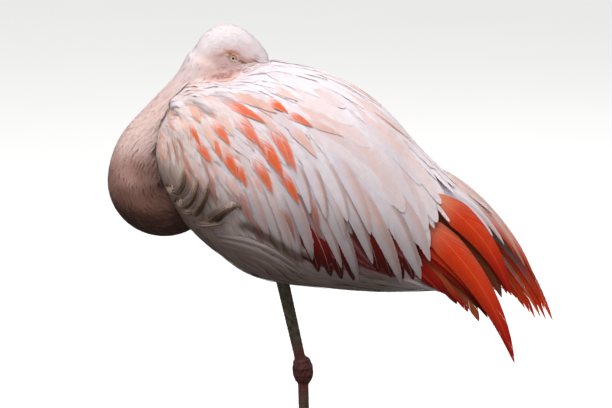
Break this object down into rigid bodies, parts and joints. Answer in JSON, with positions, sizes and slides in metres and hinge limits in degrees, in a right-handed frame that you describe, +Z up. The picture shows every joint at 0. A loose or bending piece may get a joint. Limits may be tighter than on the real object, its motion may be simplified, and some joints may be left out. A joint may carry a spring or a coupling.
{
  "type": "flamingo",
  "caption": "Life-size still Chilean flamingo asleep on one leg, neck folded in front of the breast, head laid back with its bill under the back feathers.",
  "frame": {"origin": "on the floor, on the flat sole of the standing foot right under its tarsus", "axes": "+Z up, the breast towards -X and the tail towards +X, the bird's left side towards -Y"},
  "size_m": [0.5036, 0.1928, 0.6453],
  "materials": {
    "body_feathers": "soft matte feathers",
    "neck_feathers": "short soft matte feathers",
    "coral_feathers": "long satin feathers",
    "black_feathers": "satin feathers",
    "bill": "satin horn, dark at the tip",
    "eye": "wet",
    "leg_skin": "scaly skin",
    "ankle_skin": "scaly skin",
    "claw": "horn"
  },
  "bodies": {
    "root": {"trunk": "body_feathers", "tail": "body_feathers", "neck_base": "neck_feathers", "neck_lower": "neck_feathers", "neck_middle": "neck_feathers", "neck_upper": "neck_feathers", "head": "neck_feathers", "bill_upper": "bill", "bill_lower": "bill", "eye_left": "eye", "eye_right": "eye", "wing_left": "body_feathers", "wing_right": "body_feathers", "primaries_left": "black_feathers", "primaries_right": "black_feathers", "plumes_left": "coral_feathers", "plumes_right": "coral_feathers", "tibia_left": "leg_skin", "ankle_left": "ankle_skin", "tarsus_left": "leg_skin", "foot_left": "leg_skin", "hind_toe_left": "leg_skin", "claw_inner_left": "claw", "claw_middle_left": "claw", "claw_outer_left": "claw", "tibia_right": "leg_skin", "ankle_right": "ankle_skin", "tarsus_right": "leg_skin", "foot_right": "leg_skin", "hind_toe_right": "leg_skin", "claw_inner_right": "claw", "claw_middle_right": "claw", "claw_outer_right": "claw"}
  },
  "joints": []
}
